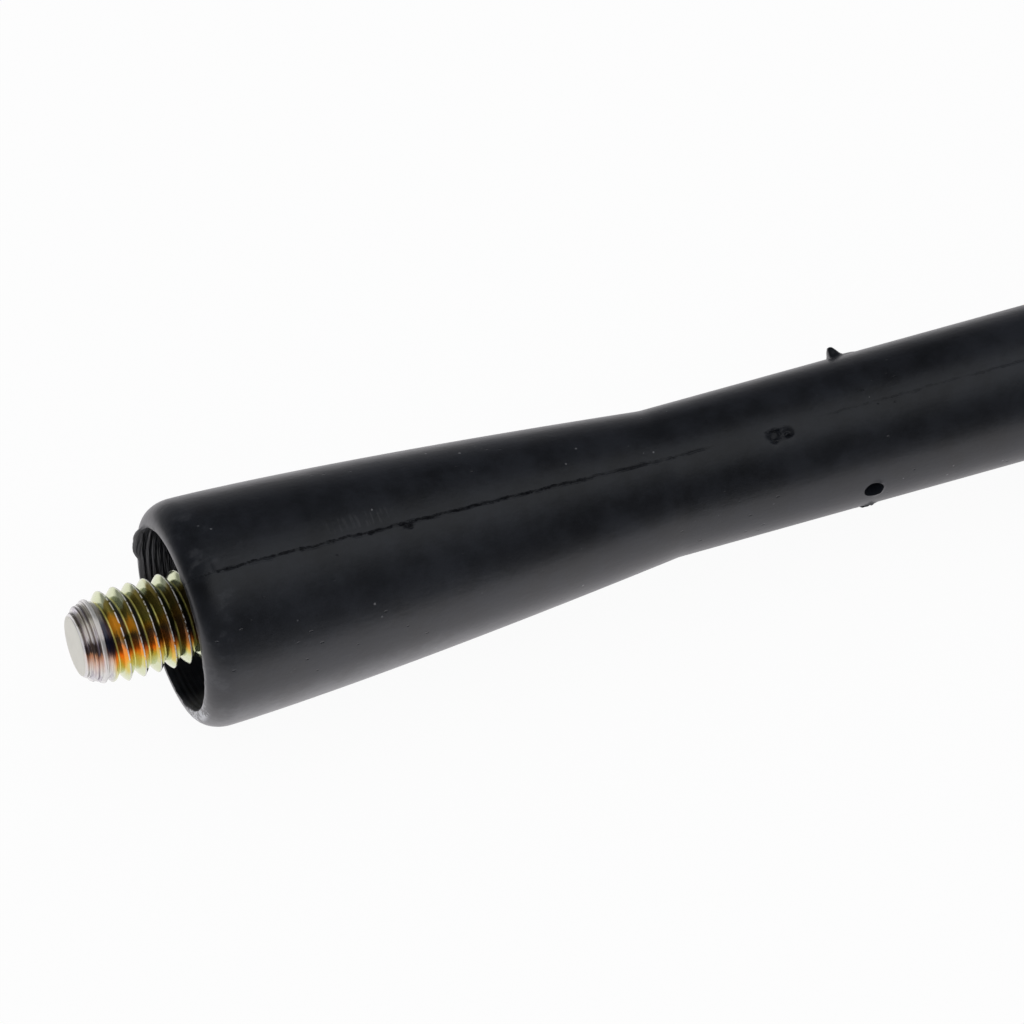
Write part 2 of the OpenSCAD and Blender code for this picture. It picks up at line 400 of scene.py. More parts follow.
def scuff_marks(skin):
    """Masks of the rubbed patch, the smeared and chafed lip, pale flecks on the rim and the
    underside's painted light.
    """
    x, radius, foot = skin.x, skin.radius, skin.foot
    rubbed = x.within(*PATCH_ALONG) * skin.line.within(*PATCH_ACROSS)
    rubbed = rubbed * skin.hoops.band(0.5, 0.62)
    smeared = x.fade(0.5, 4) * skin.mottled.band(0.52, 0.66) * skin.drawn.band(0.4, 0.6)
    aside = skin.across(PICTURE_SIDE - np.pi / 2).of("ABSOLUTE")
    rim = x.fade(0.1, 0.5) * radius.band(5.9, 5.95)
    rim = rim * skin.grains(1600, 5, 0.75).band(0.45, 0.52)
    chafed = rim * foot.band(-1, 1.5) * radius.fade(6.1, 6.4)
    pale_rim_flecks = rim * foot.band(5, 5.6) * aside.fade(1.6, 2.8) * radius.fade(6.45, 6.8)
    # Painted light: the boot's underside made paler up to about 20 mm from the mouth, for the white
    # floor's reflection.
    underside_painted_light = (foot / radius).band(0.78, 1.0) * x.fade(14, 24) * (0.4 + 0.6 * skin.blotches)
    return rubbed, smeared, chafed, pale_rim_flecks, underside_painted_light


def fine_specks(skin):
    """Masks of the specks of dust and of the small nicks, both in loose drifts."""
    ragged = skin.cells((900, 900, 900)) + (skin.grain - 0.5) * 0.09
    dust = ragged.fade(0.04, 0.085) * skin.grains(260, 1).band(0.53, 0.6)
    nicks = skin.cells((750, 1500, 1500)).fade(0.05, 0.12)
    return dust, nicks * skin.grains(180, 1).band(0.55, 0.62)


def rubber_material(sheath):
    """Satin black rubber with a fine grain, faint scuffs and dust, painted shade along the parting
    line and in the gate scar, and painted light on the underside.
    """
    made = bpy.data.materials.new("moulded_rubber")
    skin = Rubber.of(made, sheath)
    crack_and_painted_shade = parting_crack_and_painted_shade(skin) + gate_scar_painted_shade(skin, sheath)
    rubbed, smeared, chafed, pale_rim_flecks, underside_painted_light = scuff_marks(skin)
    dust, nicked = fine_specks(skin)
    black, grey = sheath.rubber_colour, sheath.dust_and_painted_light_colour
    paler = 0.5 * skin.cloud + 0.5 * skin.blotches
    shade = skin.mix(paler, scaled(black, 0.55), scaled(black, 1.55))
    shade = skin.mix(rubbed * 0.06 + smeared * 0.07, shade, grey)
    # Painted light on the underside, and the chafed flecks.
    shade = skin.mix(underside_painted_light * 0.4 + chafed * 0.35, shade, grey)
    # Near-white flecks on the lower front of the mouth's rim.
    shade = skin.mix(pale_rim_flecks * 0.9, shade, scaled(grey, 2.7))
    base = skin.mix(dust * 0.4, shade, grey)
    roughness = 0.25 + 0.03 * skin.cloud + 0.1 * skin.mottled + 0.04 * skin.drawn
    roughness = roughness + 0.1 * rubbed + 0.2 * pale_rim_flecks
    inside = skin.radius.fade(5.84, 5.92) * skin.x.fade(9, 9.2)
    layers = [
        (0.6 * skin.grain + 0.6 * skin.drawn + 1.5 * dust, 0.018, 0.55),
        (skin.mottled, 0.05, 0.5),
        (skin.hoops * inside * (1 - 0.6 * skin.foot.band(0, 2)), 0.1, 0.8),
        (1 - nicked, 0.04, 1.0),
        (1 - crack_and_painted_shade, 0.03, 1.0),
    ]
    values = {"Base Color": base, "Roughness": roughness, "Normal": skin.bumps(layers)}
    values.update({"IOR": 1.62, "Sheen Weight": 0.12, "Sheen Roughness": 0.25})
    satin = skin.node("ShaderNodeBsdfPrincipled", values)
    # Painted shade: a black shader without reflection is mixed in over the parting line's gap and
    # the gate scar.
    shadow = {"Base Color": (0.002, 0.002, 0.003), "Roughness": 1.0, "Specular IOR Level": 0.0}
    undercut_painted_shade = skin.node("ShaderNodeBsdfPrincipled", shadow)
    mixed = skin.node("ShaderNodeMixShader", [crack_and_painted_shade * 0.75, satin, undercut_painted_shade])
    skin.node("ShaderNodeOutputMaterial", [mixed])
    return made


# Painted shade lines like grooves, and the finest turning marks, on the stud's ringed end, in mm.
GROOVE_PITCH = 0.27
GROOVE_PHASE = 1.2
TURNING_PITCH = 0.17


class Plating(Surface):
    """The stud's surface, with the noises and places that its colours share."""

    def __init__(self, tree, stud):
        super().__init__(tree)
        self.patches = self.streaks((800, 320, 320), 4)
        self.hoops = self.streaks((5200, 500, 500), 3)
        self.nicks = self.grains(3400, 3)
        patchy, hooped = self.patches - 0.5, self.hoops - 0.5
        # lift is how far a point faces up or down; the thread's and the rings' colours are laid out
        # by it as painted reflection, with random patches.
        self.lift = self.across(PICTURE_SIDE) / self.radius
        self.film_and_painted_reflection = 0.5 + 0.5 * self.lift + 0.5 * patchy + 0.16 * hooped
        self.streaky_painted_reflection = 0.5 + 0.5 * self.lift + 0.3 * hooped + 0.2 * patchy
        uneven = self.lift + 0.5 * patchy + 0.5 * hooped
        early = (self.x + self.patches * 0.8).fade(-2.8, -2.2)
        self.amber = early * uneven.within(-0.12, 0.12, 0.25, 0.55)
        self.from_end = self.x - STUD_LOW.x / MM
        self.face = self.from_end.fade(0.02, 0.06)
        self.near_end = self.from_end.fade(1.5, 1.95)
        self.blue = self.from_end.within(1.36, 1.42, 1.8, 1.9)
        self.blue = self.blue * self.lift.within(-0.65, -0.3, 0.3, 0.7)
        below_crest = stud.crest_radius / MM - self.radius
        # Painted highlight along the crests, broken by nicks.
        self.crest = below_crest.fade(0.007, 0.025) * self.nicks.band(0.36, 0.5)
        # Painted highlight along the roots, away from the stud's end.
        self.root = below_crest.band(0.555, 0.59) * self.from_end.band(1.7, 1.8)
        self.root = self.root * self.patches.band(0.4, 0.5)


def thread_colour(zinc, stud):
    """Colours of the plating on the thread, laid out by how a point faces as painted reflection,
    with random patches, painted shade and painted highlights.
    """
    lift, film_and_painted_reflection = zinc.lift, zinc.film_and_painted_reflection
    stops = [
        (0.04, stud.pale_painted_reflection_colour),
        (0.13, (0.72, 0.6, 0.14)),
        (0.23, stud.warm_colour),
        (0.34, (0.84, 0.26, 0.05)),
        (0.42, stud.brown_colour),
        (0.52, (0.82, 0.4, 0.03)),
        (0.63, stud.olive_colour),
        (0.86, (0.46, 0.36, 0.08)),
        (0.91, stud.pale_painted_reflection_colour),
    ]
    metal = zinc.ramp(film_and_painted_reflection, stops)
    metal = zinc.mix(zinc.amber * 0.9, metal, (1.0, 0.36, 0.015))
    # Painted shade: threads nearer the boot are darker, except low down, for the dark boot seen in
    # them.
    late = zinc.x.band(-2.8, 0.6) * film_and_painted_reflection.fade(0.8, 0.9) * lift.band(-0.8, -0.45)
    metal = zinc.mix(late * 0.85, metal, scaled(stud.brown_colour, 0.25))
    # Painted shade on the flanks that face the tip.
    facing = zinc.axes(zinc.node("ShaderNodeNewGeometry", output="Normal"))[0]
    behind = facing.band(0.25, 0.5) * film_and_painted_reflection.fade(0.86, 0.94) * lift.band(-0.6, -0.3)
    dusk = zinc.mix(zinc.patches.band(0.45, 0.55), (0.03, 0.07, 0.03), (0.03, 0.04, 0.09))
    metal = zinc.mix(behind * 0.92, metal, dusk)
    # Painted highlight: a bright yellow line along the roots.
    metal = zinc.mix(zinc.root * 0.85, metal, (0.85, 0.8, 0.25))
    # Painted highlight: silver along the crests.
    return zinc.mix(zinc.crest * 0.9, metal, stud.silver_colour)


def ring_colour(zinc, stud):
    """Colours of the thin plating on the turned rings, from the end face to the thread, laid out by
    how a point faces as painted reflection, with painted shade lines.
    """
    silver, from_end = stud.silver_colour, zinc.from_end
    stops = [
        (0.05, silver),
        (0.2, (0.85, 0.66, 0.56)),
        (0.32, (0.86, 0.42, 0.22)),
        (0.37, (0.1, 0.07, 0.06)),
        (0.47, (0.07, 0.06, 0.07)),
        (0.54, scaled(silver, 0.9)),
        (0.7, (0.8, 0.76, 0.68)),
        (0.78, (0.42, 0.38, 0.33)),
        (0.92, (0.55, 0.51, 0.46)),
        (0.98, silver),
    ]
    thin = zinc.ramp(zinc.streaky_painted_reflection, stops)
    thin = zinc.mix(zinc.hoops.band(0.52, 0.6) * 0.45, thin, stud.cool_colour)
    # Painted shade: dark lines like grooves on the rings, except on their lower side.
    turns = from_end * (2 * np.pi / GROOVE_PITCH) + GROOVE_PHASE
    grooves = turns.of("SINE").band(0.25, 0.6) * from_end.fade(1.05, 1.1)
    thin = zinc.mix(grooves * zinc.lift.band(-0.7, -0.3) * 0.75, thin, (0.07, 0.05, 0.05))
    return zinc.mix(from_end.within(1.05, 1.12, 1.34, 1.4) * 0.8, thin, silver)


def plated_material(stud):
    """Yellow zinc plating whose colour bands are painted reflection, laid out by how a point faces
    with random patches, and the cream end face.
    """
    made = bpy.data.materials.new("yellow_zinc")
    zinc = Plating.of(made, stud)
    face, near_end, crest, end = zinc.face, zinc.near_end, zinc.crest, stud.end_colour
    metal = zinc.mix(near_end * 0.95, thread_colour(zinc, stud), ring_colour(zinc, stud))
    metal = zinc.mix(zinc.blue * 0.9, metal, stud.blue_colour)
    rim = zinc.from_end.fade(0.13, 0.16) * (1 - face)
    metal = zinc.mix(rim * 0.8, metal, stud.silver_colour)
    cream = zinc.mix(zinc.grains(700, 3).band(0.35, 0.7) * 0.2, end, scaled(end, 0.8))
    roughness = 0.08 + 0.12 * zinc.patches + 0.12 * crest + 0.05 * near_end + 0.3 * face
    turned = (zinc.x * (2 * np.pi / TURNING_PITCH)).of("SINE") + 2 * zinc.hoops
    layers = [
        (zinc.hoops, 0.02, 0.6),
        (turned * near_end * (1 - face), 0.02, 0.8),
        (zinc.nicks * crest, 0.03, 0.6),
    ]
    bright = 0.4 * near_end * (1 - face) * (1 - zinc.blue)
    # The crests' and roots' painted highlights are made less metallic, so that they show bright.
    metallic = 0.84 - 0.74 * face - 0.45 * crest - 0.3 * zinc.root - 0.4 * zinc.amber - bright
    values = {"Base Color": zinc.mix(face, metal, cream), "Normal": zinc.bumps(layers)}
    zinc.surface({**values, "Metallic": metallic, "Roughness": roughness})
    return made


def plain_material(name, light, dark, metallic, rough, grain, stretch=(1, 1, 1)):
    """An inner piece's finish: two shades of one colour in a fine grain."""
    made = bpy.data.materials.new(name)
    tree = Tree.of(made)
    vector = tree.stretched(tree.place(), scaled(stretch, grain))
    cloud = tree.noise(vector, 1.0, 4)
    base = tree.mix(cloud.band(0.35, 0.65), dark, light)
    values = {"Base Color": base, "Metallic": metallic, "Roughness": rough + 0.12 * cloud}
    tree.surface({**values, "Normal": tree.bumps([(cloud, 0.02, 0.4)])})
    return made


def wander(places, step, seed):
    """Smooth random values from -1 to 1 along a line, one new value every step."""
    draw = np.random.default_rng(seed)
    count = int((places.max() - places.min()) / step) + 4
    values = draw.uniform(-1, 1, count)
    at = (places - places.min()) / step
    low = at.astype(int)
    part = at - low
    part = part * part * (3 - 2 * part)
    return values[low] * (1 - part) + values[low + 1] * part


def bell(distance, width):
    return np.exp(-((distance / width) ** 2))


def arc_gap(angles, centre):
    """Signed difference of angles, from minus half a turn to half a turn."""
    return (angles - centre + np.pi) % (2 * np.pi) - np.pi


def spaced_angles(marks, coarse):
    """Angles round the mast, closer together near marks of centre, half width and step."""
    angles = []
    at = 0.0
    while at < 2 * np.pi - 0.2 * coarse:
        angles.append(at)
        steps = [step for centre, half, step in marks if abs(arc_gap(at, centre)) < half]
        at += min(steps, default=coarse)
    return np.array(angles)


def placed(name, data):
    """A new object in the scene."""
    made = bpy.data.objects.new(name, data)
    bpy.context.collection.objects.link(made)
    return made


def woven(name, stations, radii, angles, meets=None):
    """Closed mesh through rows of stations and radii, with a pole at each end.

    A screw's rows meet lower ones after a turn, and meets gives the number of each.
    """
    rows, columns = radii.shape
    if meets is None:
        meets = np.arange(rows)
    points = np.stack([stations, -radii * np.cos(angles), radii * np.sin(angles)], axis=-1)
    points = points.reshape(-1, 3).tolist()
    index = np.arange(rows * columns).reshape(rows, columns)
    wide = np.concatenate([index, index[meets, :1]], axis=1)
    quads = np.stack([wide[:-1, :-1], wide[1:, :-1], wide[1:, 1:], wide[:-1, 1:]], axis=-1)
    faces = quads.reshape(-1, 4).tolist()
    for row, turned in ((0, False), (-1, True)):
        points.append([float(stations[row].mean()), 0.0, 0.0])
        pole = len(points) - 1
        ring = index[row].tolist()
        pairs = zip(ring, ring[1:] + ring[:1])
        faces += [[pole, b, a] if turned else [pole, a, b] for a, b in pairs]
    mesh = bpy.data.meshes.new(name)
    mesh.from_pydata(points, [], faces)
    tidied = bmesh.new()
    tidied.from_mesh(mesh)
    bmesh.ops.remove_doubles(tidied, verts=tidied.verts, dist=2e-7)
    bmesh.ops.dissolve_degenerate(tidied, edges=tidied.edges, dist=1e-7)
    bmesh.ops.recalc_face_normals(tidied, faces=tidied.faces)
    tidied.to_mesh(mesh)
    tidied.free()
    mesh.shade_smooth()
    return placed(name, mesh)


# The skin's rows are close together up to a little past the photo's edge.
NEAR_ROWS = 62 * MM
FINE_STEP = 0.07 * MM
COARSE_STEP = 0.26 * MM
TIP_ROWS = 14
TAPER_ROWS = 54
LIP_ROWS = 20
# Corners of the mouth's rim: station, and distance out from the hollow's wall.
RIM_CORNERS = [(0.0, 0.09 * MM), (0.02 * MM, 0.02 * MM)]
# Rows of the hollow's wall, close together where its rings are seen.
WALL_STATIONS = np.concatenate([np.arange(0.09, 4.4, 0.075), np.linspace(4.6, 9, 12)]) * MM


def sheath_profile(s):
    """Rows of the sheath's skin: station, radius and name of its stretch."""
    end = SHEATH_HIGH.x
    rows = []
    for a in np.linspace(0.5 * np.pi, 0, TIP_ROWS, endpoint=False):
        rows.append((end - s.tip_radius * (1 - np.sin(a)), s.tip_radius * np.cos(a), "skin"))
    tip = end - s.tip_radius
    for x in np.linspace(tip, NEAR_ROWS, TAPER_ROWS)[1:]:
        share = max(0, (x - s.taper_start) / (tip - s.taper_start))
        rows.append((x, s.shaft_radius + (s.tip_radius - s.shaft_radius) * share, "skin"))
    x = NEAR_ROWS
    marked = [(s.gate_station, 1.2 * MM), (s.nub_station, 1.2 * MM), (FLASH_KNOT, 0.8 * MM)]
    while x > s.lip_length + 0.1 * MM:
        detail = any(abs(x - place) < reach for place, reach in marked)
        x -= FINE_STEP if detail else COARSE_STEP
        t = min(1, max(0, (x - s.lip_length) / (s.boot_length - s.lip_length)))
        drop = (s.boot_radius - s.shaft_radius) * t**s.boot_fullness
        rows.append((x, s.boot_radius - drop, "skin"))
    inner = s.mouth_radius + s.lip_flat
    for a in np.linspace(0.5 * np.pi, 0, LIP_ROWS):
        radius = inner + (s.boot_radius - inner) * np.sin(a)
        rows.append((s.lip_length * (1 - np.cos(a)), radius, "lip"))
    rows += [(x, s.mouth_radius + out, "rim") for x, out in RIM_CORNERS]
    for x in WALL_STATIONS:
        share = x / s.hollow_depth
        rows.append((x, s.mouth_radius + (s.floor_radius - s.mouth_radius) * share, "wall"))
    stud = bpy.context.scene.aerial_stud
    key = s.hollow_depth + stud.shoulder_length
    bore = SLEEVE_HIGH.z
    rows += [(s.hollow_depth, stud.shoulder_radius, "core"), (key, stud.shoulder_radius, "core")]
    return rows + [(x, bore, "core") for x in (key, key + stud.key_length, SLEEVE_HIGH.x)]


FLASH_FADE_STATIONS = np.array([0.6, 2.0, 14, 30, 34, 37, 42, 45, 60, 220]) * MM
FLASH_FADE = [0.3, 1.0, 1.1, 0.9, 0.45, 0.12, 0.15, 0.35, 0.35, 0.3]


def flash_shape(s, x, angles, radii):
    """Ragged flash along both parting lines, with a step from one half to the other."""
    ragged = np.clip(0.5 + 0.5 * wander(x, 0.45 * MM, 3) + 0.35 * wander(x, 1.7 * MM, 4), 0.05, 1.3)
    fade = np.interp(x, FLASH_FADE_STATIONS, FLASH_FADE)
    drift = (0.045 * wander(x, 1.3 * MM, 5) + 0.03 * wander(x, 0.4 * MM, 6)) * MM
    wide = (0.045 + 0.02 * wander(x, 0.7 * MM, 7)) * MM
    height = np.zeros((len(x), len(angles)))
    for far in (0, np.pi):
        across = arc_gap(angles, s.parting_angle + far)[None, :] * radii[:, None] - drift[:, None]
        ridge = bell(across, wide[:, None])
        step = 0.5 * (1 + np.tanh(across / (0.04 * MM))) * bell(across, 0.9 * MM)
        amount = (ragged * fade * s.flash_height)[:, None]
        height += 0.35 * amount * ridge + 0.16 * (fade * s.flash_height)[:, None] * step
        height -= 0.35 * amount * bell(across + 0.1 * MM, 0.05 * MM)
    return height


def flash_knot(s, x, angles, radii):
    """Folded scrap of flash beside the parting line on the boot."""
    along = (x - FLASH_KNOT)[:, None]
    across = arc_gap(angles, s.parting_angle)[None, :] * radii[:, None]
    flap = bell(along, 0.35 * MM) * bell(across + 0.16 * MM, 0.15 * MM)
    hollow = bell(along - 0.1 * MM, 0.3 * MM) * bell(across + 0.36 * MM, 0.09 * MM)
    return 0.1 * MM * flap - 0.06 * MM * hollow


def pit(along, across, long, wide):
    """1 in the middle of an oval and 0 outside it, with a steep wall."""
    return np.exp(-(((along / long) ** 2 + (across / wide) ** 2) ** 1.4))


# Marks of the torn gate, in mm: height, place towards the mouth and down, half length and width.
GATE_MARKS = [
    (-0.15, 0.4, 0.02, 0.46, 0.38),
    (-0.12, -0.47, 0.1, 0.34, 0.3),
    (-0.12, 0.3, -0.27, 0.45, 0.06),
    (0.16, 0.04, -0.06, 0.06, 0.16),
    (0.14, -0.4, 0.12, 0.13, 0.08),
    (-0.12, -0.52, 0.26, 0.2, 0.07),
    (0.12, 0.35, 0.36, 0.14, 0.06),
    (-0.1, 0.5, 0.42, 0.2, 0.07),
]


def gate_shape(s, x, angles, radii):
    """Torn double pit where the gate was, a little to the near side of the parting line."""
    along = (x - s.gate_station)[:, None] + 0.06 * MM
    across = arc_gap(angles, s.parting_angle - s.gate_offset)[None, :] * radii[:, None]
    shape = np.zeros(across.shape)
    for mark in GATE_MARKS:
        height, behind, below, long, wide = (MM * size for size in mark)
        shape += height * pit(along + behind, across + below, long, wide)
    return shape


NUB_PLACES = np.array([-0.37, -0.33, -0.26, -0.1, 0.07, 0.24, 0.44, 0.62, 1.2, 1.4]) * MM
NUB_RISES = np.array([0, 0.36, 0.63, 0.69, 0.65, 0.46, 0.2, 0.07, 0.05, 0]) * MM


def nub_shape(s, x, angles, radii):
    """Rubber torn up over one pin hole, steep towards the boot."""
    along = x - s.nub_station
    rise = np.interp(along, NUB_PLACES, NUB_RISES)
    across = arc_gap(angles, s.parting_angle + s.pin_spread)[None, :] * radii[:, None]
    slim = np.interp(along, [-0.3 * MM, 0.5 * MM, 1.4 * MM], [0.4 * MM, 0.42 * MM, 0.2 * MM])
    return rise[:, None] * np.exp(-np.abs(across / slim[:, None]) ** 2.6)


# Torn rims of the three open pin holes: height, and on which side they are torn.
PIN_RIMS = [(0.08 * MM, 0.4 * MM), (0.2 * MM, 0.08 * MM), (0.08 * MM, 0.3 * MM)]


def pin_angles(s):
    """Angles round the mast of the three open pin holes."""
    near, far = s.parting_angle, s.parting_angle + np.pi
    return near - s.pin_spread, far + s.pin_spread, far - s.pin_spread


def hole_rims(s, x, angles, radii):
    """Ragged rims that the locating pins left round their holes."""
    height = np.zeros((len(x), len(angles)))
    along = (x - s.pin_station)[:, None]
    for seed, (angle, (rise, side)) in enumerate(zip(pin_angles(s), PIN_RIMS)):
        across = arc_gap(angles, angle)[None, :] * radii[:, None]
        away = np.hypot(along, across)
        turn = np.arctan2(across, along) + np.pi
        torn = 0.8 + 0.2 * np.cos(3 * turn + seed) + 0.2 * np.cos(8 * turn + 2 * seed)
        torn_side = bell(along - side, 0.36 * MM)
        height += rise * torn * torn_side * bell(away - s.pin_hole_radius, 0.14 * MM)
    return height


def hollow_rings(s, x):
    """Uneven turned rings on the wall of the hollow."""
    phase = x / s.ring_pitch + 0.35 * wander(x, 1.3 * MM, 11)
    tooth = 1 - np.abs(2 * (phase % 1) - 1) ** 0.8
    amount = 0.65 + 0.5 * wander(x, 0.6 * MM, 12)
    return s.ring_height * tooth * amount


def skin_angles(s):
    """Angles of the skin's columns, closer at the parting lines, the nub and the holes."""
    near = s.parting_angle
    marks = [(near, 0.025, 0.0055), (near - 0.07, 0.12, 0.0085), (near + np.pi, 0.04, 0.0125)]
    marks += [(near + s.pin_spread, 0.13, 0.018)]
    marks += [(angle, 0.19, 0.018) for angle in pin_angles(s)]
    return spaced_angles(marks, 0.045)


def mouth_flash(s, angles):
    """How far the torn flash stands out of the mouth, all round it."""
    half = 0.5 * s.rim_flash_sweep
    tongue = np.exp(-np.abs(arc_gap(angles, s.rim_flash_angle) / half) ** 6)
    torn = 1 + 0.06 * wander(angles, 0.09, 33) + 0.03 * wander(angles, 0.04, 34)
    ragged = 0.045 * MM * np.clip(wander(angles, 0.11, 31) + 0.6 * wander(angles, 0.05, 32), 0, 2)
    return (s.rim_flash - 0.04 * MM) * tongue * torn + ragged * (1 - tongue)


def build_sheath(s):
    x, radius, kind = (np.array(column) for column in zip(*sheath_profile(s)))
    angles = skin_angles(s)
    radii = np.repeat(radius[:, None], len(angles), axis=1)
    stations = np.repeat(x[:, None], len(angles), axis=1)
    skin = (kind == "skin") & (x < SHEATH_HIGH.x - s.tip_radius * 0.3)
    marks = (flash_shape, flash_knot, gate_shape, nub_shape, hole_rims)
    radii[skin] += sum(mark(s, x[skin], angles, radius[skin]) for mark in marks)
    wall = kind == "wall"
    radii[wall] -= hollow_rings(s, x[wall])[:, None]
    proud = mouth_flash(s, angles)[None, :]
    front = (kind == "rim") | ((kind == "lip") & (x < 0.25 * s.lip_length))
    weight = np.interp(radius[front], [s.mouth_radius + 0.1 * MM, s.mouth_radius + 0.3 * MM], [1, 0])
    stations[front] -= weight[:, None] * proud
    near_rim = wall & (x < 0.5 * MM)
    ease = np.interp(x[near_rim], [0, 0.5 * MM], [1, 0])
    stations[near_rim] -= ease[:, None] * proud
    made = woven("sheath_skin", stations, radii, angles)
    cut_pin_holes(s, made)
    return made


def apply(made, modifier):
    """Applies one modifier of an object."""
    bpy.context.view_layer.objects.active = made
    bpy.ops.object.modifier_apply(modifier=modifier.name)


# A pin hole's cutter: length, how far it sinks into the sleeve, and shares of the hole's radius.
CUTTER_LENGTH = 4 * MM
CUTTER_SINK = 0.3 * MM
CUTTER_TAPER = (0.94, 1.05)


def cut_pin_holes(s, made):
    """Cuts the three open locating-pin holes down to the shrink sleeve."""
    apply(made, made.modifiers.new("facets", "TRIANGULATE"))
    bottom, top = CUTTER_TAPER
    for angle in pin_angles(s):
        outward = Vector((0, -np.cos(angle), np.sin(angle)))
        foot = Vector((s.pin_station, 0, 0)) + outward * (SLEEVE_HIGH.z - CUTTER_SINK)
        bpy.ops.mesh.primitive_cone_add(
            vertices=40,
            radius1=s.pin_hole_radius * bottom,
            radius2=s.pin_hole_radius * top,
            depth=CUTTER_LENGTH,
            location=foot + outward * (CUTTER_LENGTH / 2),
            rotation=outward.to_track_quat("Z", "Y").to_euler(),
        )
        cutter = bpy.context.object
        cut = made.modifiers.new("pin_hole", "BOOLEAN")
        cut.operation = "DIFFERENCE"
        cut.solver = "EXACT"
        cut.object = cutter
        apply(made, cut)
        bpy.data.objects.remove(cutter)


# Rows of the thread, as shares of a pitch.
HALF_THREAD = [0, 0.025, 0.045, 0.07, 0.12, 0.2, 0.3, 0.4, 0.47]
THREAD_PHASES = np.array(HALF_THREAD + [0.5] + [1 - phase for phase in HALF_THREAD[:0:-1]])
# Root, flank and the flank's bulge, as shares of half a pitch and of the thread's depth.
ROOT_SHARE = 0.06
FLANK_SHARE = 0.89
FLANK_BULGE = 0.1
SHALLOWEST_THREAD = 0.05 * MM
# Outline over the first crests and of the uncut blank, from the stud's end.
THREAD_START = 1.22 * MM
END_PLACES = np.array([1.22, 1.32, 1.5, 1.75, 2.0, 2.2, 20]) * MM
END_RADII = np.array([2.69, 2.69, 2.6, 2.74, 2.9, 2.95, 2.95]) * MM
BLANK_PLACES = [1.28 * MM, 1.65 * MM]
BLANK_RADII = [2.7 * MM, 2.2 * MM]
RELIEF_RUN = 0.9 * MM


def thread_radius(s, x, angles):
    """Radius of the right-hand thread: flat flanks, narrow crests and roots, low at its start."""
    phase = (x / s.pitch + (angles + s.thread_start) / (2 * np.pi)) % 1
    away = np.abs(2 * phase - 1)
    tooth = np.clip((away - ROOT_SHARE) / FLANK_SHARE, 0, 1)
    tooth = tooth + FLANK_BULGE * np.sin(np.pi * tooth)
    from_end = x - STUD_LOW.x
    crest = np.interp(from_end, END_PLACES, END_RADII)
    root = np.minimum(s.crest_radius - s.thread_depth, crest - SHALLOWEST_THREAD)
    body = root + (crest - root) * np.minimum(tooth, 1)
    body = np.minimum(np.maximum(body, np.interp(from_end, BLANK_PLACES, BLANK_RADII)), crest)
    relief = np.interp(x, [s.thread_end - RELIEF_RUN, s.thread_end], [0, 1])
    return body * (1 - relief) + s.relief_radius * relief


def threaded_rows(s, first, angles):
    """Rows that follow the screw, cut off square at both ends of the thread."""
    whole = np.arange(int(first / s.pitch) - 2, int(s.thread_end / s.pitch) + 3)
    start = s.thread_start / (2 * np.pi)
    rows = ((whole[:, None] + THREAD_PHASES).reshape(-1) - start) * s.pitch
    rows = rows[(rows > first - 0.2 * MM) & (rows < s.thread_end + 1.2 * s.pitch)]
    turn = angles / (2 * np.pi) * s.pitch
    stations = np.clip(rows[:, None] - turn[None, :], first, s.thread_end)
    return stations, thread_radius(s, stations, angles)


# Outline of the stud's ringed end, in mm: distance from the end face, and radius.
END_FACE = [(0, 0.7), (0, 1.4), (0, 1.84), (0.03, 1.91), (0.1, 2.01), (0.17, 2.06), (0.18, 1.95)]
END_FACE += [(0.25, 1.95), (0.27, 2.12), (0.44, 2.14), (0.5, 2.38), (0.56, 2.42), (0.7, 2.44)]
END_FACE += [(0.73, 2.37), (0.79, 2.37), (0.82, 2.47), (0.92, 2.52), (0.95, 2.47), (1, 2.47)]
END_FACE += [(1.03, 2.57), (1.12, 2.66), (1.18, 2.69)]
STUD_COLUMNS = 160
SHOULDER_EDGE = 0.15 * MM


def shank_rows(s, six):
    """Rows behind the thread: shoulder, grooved key, nose and the rod's socket."""
    shoulder = bpy.context.scene.aerial_sheath.hollow_depth
    key = shoulder + s.shoulder_length
    nose = key + s.key_length
    end = nose + s.nose_length
    land = (s.key_length - 2 * s.groove_width) / 3
    socket = ROD_HIGH.z + 0.02 * MM
    rows = [(shoulder, s.relief_radius), (shoulder, s.shoulder_radius - SHOULDER_EDGE)]
    rows += [(shoulder + SHOULDER_EDGE, s.shoulder_radius), (key, s.shoulder_radius), (key, six)]
    for groove in range(2):
        from_x = key + land + groove * (land + s.groove_width)
        to_x = from_x + s.groove_width
        rows += [(from_x, six), (from_x, s.groove_radius), (to_x, s.groove_radius), (to_x, six)]
    rows += [(nose, six), (nose, s.nose_radius), (end, s.nose_radius)]
    return rows + [(end, socket), (ROD_LOW.x, socket)]


def build_stud(s):
    angles = np.linspace(0, 2 * np.pi, STUD_COLUMNS, endpoint=False)
    all_round = np.ones(len(angles))
    face = [(STUD_LOW.x + x * MM, r * MM) for x, r in END_FACE]
    six = s.key_half_flats / np.cos((angles + np.pi / 6) % (np.pi / 3) - np.pi / 6)
    thread = list(zip(*threaded_rows(s, STUD_LOW.x + THREAD_START, angles)))
    rows = face + thread + shank_rows(s, six)
    stations, radii = (np.array([value * all_round for value in part]) for part in zip(*rows))
    meets = np.arange(len(rows))
    screw = slice(len(face), len(face) + len(thread))
    meets[screw] = np.maximum(meets[screw] - len(THREAD_PHASES), len(face))
    return woven("stud_thread", stations, radii, angles, meets)


def sharpen(made, degrees):
    """Keeps edges over an angle hard in a smooth-shaded mesh."""
    bpy.context.view_layer.objects.active = made
    made.select_set(True)
    bpy.ops.object.shade_smooth_by_angle(angle=np.radians(degrees))
    made.select_set(False)


